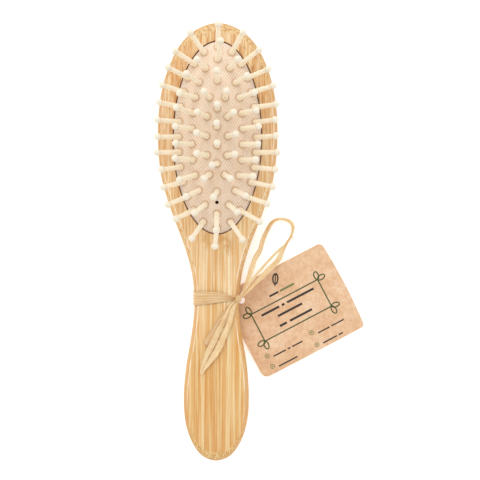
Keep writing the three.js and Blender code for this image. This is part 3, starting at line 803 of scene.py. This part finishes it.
def raffia_band(look):
    """Two gathered strips round the waist and through the tag's hole, with the knot's turns on top."""
    base = smooth_line([(x, 0, z) for x, z in BAND_LINE], 200, closed=True)
    at_x, middles, halves = (np.array(column) * MM for column in zip(*BAND_SHAPE))
    middle = np.interp(base[:, 0], at_x, middles)
    half = np.interp(base[:, 0], at_x, halves)
    strips = []
    for seed, pleats, place_share, half_share, lift in BAND_STRIPS:
        line = base.copy()
        line[:, 1] = middle + half * place_share
        line[:, 2] += lift * MM * np.sign(line[:, 2] - BODY_TOP / 2)
        fold = (0.09 + 0.08 * (base[:, 0] - at_x[0]) / (at_x[-1] - at_x[0])) * MM
        sides = np.broadcast_to((0.0, 1.0, 0.0), line.shape)
        strips.append(strip_mesh(line, half * half_share, sides, pleats, fold, seed, closed=True))
    across = KNOT_AXIS.cross(Vector((0, 0, 1)))
    for seed, shift, lean, wide, high in KNOT_TURNS:
        turn = Matrix.Rotation(math.radians(lean), 3, Vector((0, 0, 1)))
        centre = KNOT + KNOT_AXIS * shift * MM
        ring = [centre + turn @ (across * math.cos(a) * wide * MM) + Vector((0, 0, math.sin(a) * high * MM))
                for a in full_turn(36)]
        side = np.broadcast_to(np.array(turn @ KNOT_AXIS), (len(ring), 3))
        strips.append(strip_mesh(np.array(ring), 0.52 * MM, side, 2, 0.08 * MM, seed, closed=True))
    for seed, start, end in KNOT_CORES:
        core = smooth_line([start, np.add(start, end) / 2 + (0, 0, 0.25), end], 16)
        strips.append(strip_mesh(core, 0.6 * MM, rolled(core, 0), 2, 0.16 * MM, seed))
    add_strips("raffia_band_and_knot", strips, look, "raffia_wrap")


# -------- wooden body
def body_outline():
    """The outline's points, and the direction out of it at each."""
    mirrored = [(-x, y) for x, y in reversed(OUTLINE_SIDE[1:-1])]
    line = smooth_line(OUTLINE_SIDE + mirrored, OUTLINE_STEPS, closed=True)
    forward = ahead_of(line, True)
    return line, np.stack([-forward[:, 1], forward[:, 0]], axis=1)


def level_ring(offset, z, steps):
    """A level ring round the cushion's ellipse, wider than it by offset."""
    angles = full_turn(steps)
    x = (SEMI_X + offset) * np.cos(angles)
    y = CUSHION_Y + (SEMI_Y + offset) * np.sin(angles)
    return np.stack([x, y, np.full(steps, z)], axis=1)


def wooden_body():
    line, out = body_outline()
    width = EDGE_WIDTH + EDGE_WIDTH_AT_ENDS * out[:, 1] ** 2
    half_arris = ARRIS_WIDTH / 2

    def ring(inset, z):
        inner = line - out * np.broadcast_to(inset, len(line))[:, None]
        return np.column_stack([inner, np.full(len(line), z)])

    rings = [ring(width + half_arris, BODY_TOP), ring(width - half_arris, BODY_TOP - 0.09 * MM)]
    for angle in np.linspace(ARRIS_START, math.pi / 2, EDGE_STEPS + 2)[1:]:
        reach = (math.sin(angle) - math.sin(ARRIS_START)) / (1 - math.sin(ARRIS_START))
        height = math.cos(angle) / math.cos(ARRIS_START)
        rings.append(ring(width * (1 - reach), BODY_TOP - EDGE_DEPTH * (1 - height)))
    for angle in np.linspace(math.pi / 2, 0, EDGE_STEPS):
        rings.append(ring(EDGE_WIDTH * (1 - math.sin(angle)), EDGE_DEPTH * (1 - math.cos(angle))))
    steps = len(line)
    points = np.concatenate(rings)
    top = tuple(range(steps))[::-1]
    bottom = tuple(range(len(points) - steps, len(points)))
    faces = ring_faces(len(rings), steps, flip=True)
    looks = (bamboo("bamboo"), bamboo("bamboo_arris_painted_highlight", arris=0.8), painted_pocket_shade())
    body = add_mesh("bamboo_body", points, [*faces, top, bottom], *looks)
    # The arris strip on the long sides takes the material with the painted highlight.
    for face in body.data.polygons[:steps]:
        if abs(out[face.vertices[0] % steps][0]) > 0.6:
            face.material_index = 1
    # The pocket's walls and mouth take the dark brown painted shade.
    cut(body, pocket_cutter(looks[2]))
    cut(body, arch_cutter(looks[0]))
    shade(body.data, 28)
    place(body, "brush", "bamboo", "brush_body")


def pocket_cutter(look):
    above = BODY_TOP + 2 * MM
    groove = LIP_OUT + GAP
    levels = [
        (GAP + MOUTH_CHAMFER, above), (GAP + MOUTH_CHAMFER, BODY_TOP), (GAP, BODY_TOP - MOUTH_CHAMFER),
        (GAP, LIP_TOP + GAP), (groove, LIP_TOP + GAP), (groove, LIP_BOTTOM - GAP), (GAP, LIP_BOTTOM - GAP),
        (GAP, CHAMBER_FLOOR),
    ]
    rings = [level_ring(offset, z, 200) for offset, z in levels]
    return add_solid("pocket", (0, CUSHION_Y, above), rings, (0, CUSHION_Y, CHAMBER_FLOOR), look)


def arch_cutter(look):
    """The space under the waist, with a round top along Y."""
    half_span = math.sqrt(ARCH_RADIUS ** 2 - (ARCH_RADIUS - ARCH_DEPTH) ** 2) * 1.02
    ys = np.linspace(-half_span, half_span, ARCH_STEPS)
    zs = np.sqrt(ARCH_RADIUS ** 2 - ys ** 2) - ARCH_RADIUS + ARCH_DEPTH
    profile = [(y, z) for y, z in zip(ys, zs)] + [(half_span, -5 * MM), (-half_span, -5 * MM)]
    half = 30 * MM
    points = [(x, y + ARCH_Y, z) for x in (-half, half) for y, z in profile]
    return add_mesh("arch", points, prism_faces(len(profile)), look)


# -------- cushion and pins
def dome_height(x, y):
    """Height of the rubber's outer face, with x and y from the cushion's middle."""
    u, v = x / SEMI_X, y / SEMI_Y
    reach = np.hypot(u, v)
    along = np.divide(v, reach, out=np.zeros_like(reach), where=reach > 0) ** 2
    return RIM_Z + DOME_RISE * (1 - reach ** (DOME_POWER_X + (DOME_POWER_Y - DOME_POWER_X) * along))


def dome_normal(x, y):
    step = 0.01 * MM
    x, y = np.asarray(x, float), np.asarray(y, float)
    slope_x = (dome_height(x + step, y) - dome_height(x - step, y)) / (2 * step)
    slope_y = (dome_height(x, y + step) - dome_height(x, y - step)) / (2 * step)
    return unit(np.stack([-slope_x, -slope_y, np.ones_like(slope_x)], axis=-1))


def ring_places(count, semi_x, semi_y):
    """Places at equal steps round an ellipse, from its +Y end towards -X."""
    angles = np.linspace(0, 2 * math.pi, 2001) + math.pi / 2
    ellipse = np.stack([semi_x * np.cos(angles), semi_y * np.sin(angles)], axis=1)
    return even_line(ellipse, count, closed=True)


def dome_ring(share, depth, feet=None):
    """A ring on the dome, sunk by depth along its normal, and dimpled round the pins' feet."""
    angles = full_turn(CUSHION_STEPS)
    x, y = SEMI_X * share * np.cos(angles), SEMI_Y * share * np.sin(angles)
    points = np.stack([x, y, dome_height(x, y)], axis=1)
    if feet is not None:
        gaps = np.linalg.norm(points[:, None, :2] - feet[None], axis=2) / DIMPLE_RADIUS
        points[:, 2] -= DIMPLE_DEPTH * (np.clip(1 - gaps ** 2, 0, 1) ** 2).sum(axis=1)
    points -= dome_normal(x, y) * depth
    points[:, 1] += CUSHION_Y
    return points


def foot_at(x, y):
    """The place on the rubber over x and y from the cushion's middle."""
    return Vector((x, y + CUSHION_Y, float(dome_height(np.array([x]), np.array([y]))[0])))


def rod_ring(foot, turn, radius, height, steps):
    """A ring round a rod that stands at foot."""
    return [foot + turn @ Vector((radius * math.cos(a), radius * math.sin(a), height))
            for a in full_turn(steps)]


def drills(places, radius, look):
    """Rods through the rubber at places, each one square to it."""
    steps = 24
    points, faces = [], []
    for x, y in places:
        turn = turn_to(Vector(dome_normal(x, y)))
        start = len(points)
        for height in (DRILL_TOP, DRILL_BOTTOM):
            points += rod_ring(foot_at(x, y), turn, radius, height, steps)
        faces += prism_faces(steps, start)
    return add_mesh("drills", points, faces, look)


def cushion(feet):
    top = RIM_Z + DOME_RISE
    angles = np.linspace(0, DOME_SPREAD, CUSHION_RINGS + 1)[1:-1]
    rings = [dome_ring(share, 0, feet) for share in np.sin(angles) / math.sin(DOME_SPREAD)]
    levels = [
        (-0.06 * MM, RIM_Z + 0.05 * MM), (0, RIM_Z - 0.12 * MM), (0, LIP_TOP), (LIP_OUT, LIP_TOP),
        (LIP_OUT, LIP_BOTTOM), (-LIP_IN, LIP_BOTTOM), (-NECK_IN, NECK_Z),
    ]
    rings += [level_ring(offset, z, CUSHION_STEPS) for offset, z in levels]
    rings += [dome_ring(share, RUBBER) for share in (0.87, 0.75, 0.55, 0.3)]
    look = rubber()
    piece = add_solid("rubber_cushion", (0, CUSHION_Y, top), rings, (0, CUSHION_Y, top - RUBBER), look)
    cut(piece, drills([(0, VENT_Y)], VENT_RADIUS, look))
    cut(piece, drills(feet, PIN_HOLE_RADIUS, look))
    shade(piece.data, 40)
    # The share of painted shade round the pins' feet, read by the rubber's colour.
    corners = np.zeros(len(piece.data.vertices) * 3)
    piece.data.vertices.foreach_get("co", corners)
    flat = corners.reshape(-1, 1, 3)[..., :2] - (0, CUSHION_Y)
    gaps = np.linalg.norm(flat - feet[None], axis=2).min(axis=1)
    add_values(piece, "painted_pin_shade", np.clip(1 - (gaps / DIMPLE_RADIUS) ** 2, 0, 1))
    place(piece, "brush", "cushion_rubber", "air_cushion")
    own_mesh(piece)


def pin_profile():
    """Radius and height along one pin, from under its head to the top of its ball."""
    profile = [(radius * MM, height * MM) for radius, height in PIN_STEM]
    centre = PIN_LENGTH - BALL_RADIUS
    for angle in np.radians(np.linspace(-48, 78, 10)):
        profile.append((BALL_RADIUS * math.cos(angle), centre + BALL_RADIUS * math.sin(angle)))
    return [*profile, (0, PIN_LENGTH)]


def pin_piece(node, places, bends, upright, look, rng):
    """One piece of the pins at places, almost square to the rubber, bent by bends and a little askew."""
    profile = pin_profile()
    low_z, high_z = profile[0][1], profile[-1][1]
    inner = profile[1:-1]
    heights = [low_z, *[height for _, height in inner for _ in range(PIN_SIDES)], high_z]
    points, faces = [], []
    for (x, y), (bend_x, bend_y) in zip(places, bends):
        foot = foot_at(x, y)
        up = Vector(dome_normal(x, y))
        up = Vector((up.x * (1 - upright) + bend_x, up.y * (1 - upright) + bend_y, up.z)).normalized()
        lean = Euler((rng.normal(0, PIN_LEAN), rng.normal(0, PIN_LEAN), 0)).to_matrix()
        turn = turn_to(up) @ lean
        start = len(points)
        points.append(foot + turn @ Vector((0, 0, low_z)))
        for radius, height in inner:
            points += rod_ring(foot, turn, radius, height, PIN_SIDES)
        points.append(foot + turn @ Vector((0, 0, high_z)))
        last = len(points) - 1
        faces += fan_faces(start, start + 1, PIN_SIDES, flip=True)
        faces += ring_faces(len(inner), PIN_SIDES, first=start + 1, flip=True)
        faces += fan_faces(last, last - PIN_SIDES, PIN_SIDES)
    piece = add_mesh(f"nylon_{node}", points, faces, look, sharp=50)
    add_values(piece, "along", [max(0.0, height / PIN_LENGTH) for height in heights] * len(places))
    place(piece, node, "pin_nylon", node)


def pins():
    """Every pin on its own body, and the three inner rows. Gives all their feet."""
    look = nylon()
    rng = np.random.default_rng(66)
    feet = []

    def add_pins(node, kind, places, upright, first=1):
        bends = [BENT_PINS[kind].get(number, SHARED_LEAN) for number in range(first, first + len(places))]
        pin_piece(node, places, bends, upright, look, rng)
        feet.extend(places)

    for kind, ring, upright in ("outer", OUTER_RING, OUTER_UPRIGHT), ("middle", MIDDLE_RING, MIDDLE_UPRIGHT):
        for number, at in enumerate(ring_places(**ring), start=1):
            add_pins(f"pin_{kind}_{number:02d}", kind, [at], upright, number)
    inner = list(ring_places(**INNER_RING))
    half = len(inner) // 2
    centre = [inner[0], *[np.array((0.0, y)) for y in CENTRE_PINS_Y], inner[half]]
    for side, places in (("left", inner[1:half]), ("centre", centre), ("right", inner[half + 1:])):
        add_pins(f"pin_row_{side}", side, places, INNER_UPRIGHT)
    return np.array(feet)


# -------- hang tag
def on_card(u, v, lift):
    """A point of the card: u to its right, v up from the hole, lift above its back."""
    off_u, off_v = (u - TAG_MIDDLE[0]) / TAG_HALF[0], (v - TAG_MIDDLE[1]) / TAG_HALF[1]
    bow = TAG_BOW * (1 - off_u ** 2) * (0.55 + 0.45 * off_v ** 2)
    from_hole = min(1.0, math.hypot(u, v) / (12 * MM))
    turn = Matrix.Rotation(TAG_TURN, 3, "Z") @ Matrix.Rotation(TAG_TILT, 3, "Y")
    return TAG_HOLE + turn @ Vector((u, v, lift + bow * from_hole ** 2))


def card_outline():
    """Round the card from its lower left corner, with round corners and a bulging right edge."""
    line = []
    for (u, v), radius, start in TAG_CORNERS:
        centre_u = u + math.copysign(radius, TAG_MIDDLE[0] - u)
        centre_v = v + math.copysign(radius, TAG_MIDDLE[1] - v)
        for angle in np.radians(np.linspace(start, start + 90, 9)):
            line.append((centre_u + radius * math.cos(angle), centre_v + radius * math.sin(angle)))
    line = even_line(np.array([*line, line[0]]), 300, closed=True)
    right = np.clip((line[:, 0] - TAG_RIGHT + 3 * MM) / (3 * MM), 0, 1)
    line[:, 0] += TAG_BULGE * right * (1 - ((line[:, 1] - TAG_MIDDLE[1]) / TAG_HALF[1]) ** 2)
    return line


def hang_tag(look):
    outline = card_outline()
    angles = np.arctan2(outline[:, 1], outline[:, 0])
    hole = np.stack([np.cos(angles), np.sin(angles)], axis=1) * TAG_HOLE_RADIUS
    shares = np.linspace(0, 1, 40) ** 1.3
    rings = [[on_card(u, v, lift) for u, v in hole + (outline - hole) * share]
             for lift, row in ((TAG_THICKNESS, shares), (0, shares[::-1])) for share in row]
    points = [p for ring in rings for p in ring]
    faces = ring_faces(len(rings), len(outline), closed=True)
    place(add_mesh("kraft_tag", points, faces, look), "tag", "kraft_card", "hang_tag")


def add_print(name, lines, look):
    """Flat printed lines on the card. Each line is its points as u and v in mm, and its half-width."""
    points, faces = [], []
    for route, half in lines:
        route = np.array(route, float) * MM
        length = np.linalg.norm(np.diff(route, axis=0), axis=1).sum()
        fine = even_line(route, max(2, int(length / (0.4 * MM)) + 1))
        forward = ahead_of(fine, False)
        side = np.stack([forward[:, 1], -forward[:, 0]], axis=1) * half * MM
        start = len(points)
        for (u, v), (du, dv) in zip(fine, side):
            for sign, lift in ((1, 0.02), (-1, 0.02), (-1, 0.002), (1, 0.002)):
                points.append(on_card(u + sign * du, v + sign * dv, TAG_THICKNESS + lift * MM))
        faces += ring_faces(len(fine), 4, first=start, flip=True)
        end = len(points) - 4
        faces += [(start + 3, start + 2, start + 1, start), (end, end + 1, end + 2, end + 3)]
    place(add_mesh(name, points, faces, look), "tag", "kraft_card")


def oval(centre, length, width, turn):
    """A closed oval's points round its middle, in mm, turned by turn in degrees."""
    c, s = math.cos(math.radians(turn)), math.sin(math.radians(turn))
    return [(centre[0] + length * math.cos(a) * c - width * math.sin(a) * s,
             centre[1] + length * math.cos(a) * s + width * math.sin(a) * c)
            for a in np.linspace(0, 2 * math.pi, 29)]


def tag_print():
    """A thin frame with plain ovals at its corners, a plain leaf, small rings, and bars for wording."""
    left, right, low, high = PRINT_FRAME
    sides = [((left, low), (right, low)), ((left, high), (right, high)), ((left, low), (left, high)),
             ((right, low), (right, high))]
    frame_lines = [(side, RULE) for side in sides]
    for u, v, turn in ((left, low, 225), (right, low, 315), (right, high, 45), (left, high, 135)):
        for way in (turn - OVAL_SPREAD, turn + OVAL_SPREAD):
            direction = math.radians(way)
            centre = (u + OVAL_REACH * math.cos(direction), v + OVAL_REACH * math.sin(direction))
            frame_lines.append((oval(centre, *OVAL_SIZE, way), RULE))
    add_print("tag_frame_print", frame_lines, ink("ink_olive", "4C5832", 0.3))

    bars = [([(start, v), (end, v)], half) for v, half, spans in BARS for start, end in spans]
    bars += [(oval((16, 1.3), 2.1, 1, 60), 0.3), ([(14.5, -1.2), (17, 3)], 0.22)]
    add_print("tag_bar_print", bars, ink("ink_dark", "322B28", 0.3))

    rings = [([(15.4, -3.9), (21.8, -3.9)], 0.4)]
    for centre in RING_PLACES:
        rings += [(oval(centre, 0.85, 0.85, 0), 0.13), (oval(centre, 0.25, 0.25, 0), 0.2)]
    add_print("tag_ring_print", rings, ink("ink_green", "6D7A48", 0.4))


# -------- build
add_camera()
raffia_look = raffia("raffia", "E8C692", "F4DDB2", "BE8644")
band_look = raffia("raffia_band", "D8B07C", "E8CCA0", "AC7838")
pale_raffia_look = raffia("raffia_pale", "DAB486", "E4C79B", "BE9058")
loop, loop_line, split_strand = raffia_loop(raffia_look)
long_tail, long_tail_line, short_tail = raffia_tails(raffia_look, pale_raffia_look)
raffia_band(band_look)
wooden_body()
cushion(pins())
hang_tag(kraft())
tag_print()
add_studio()
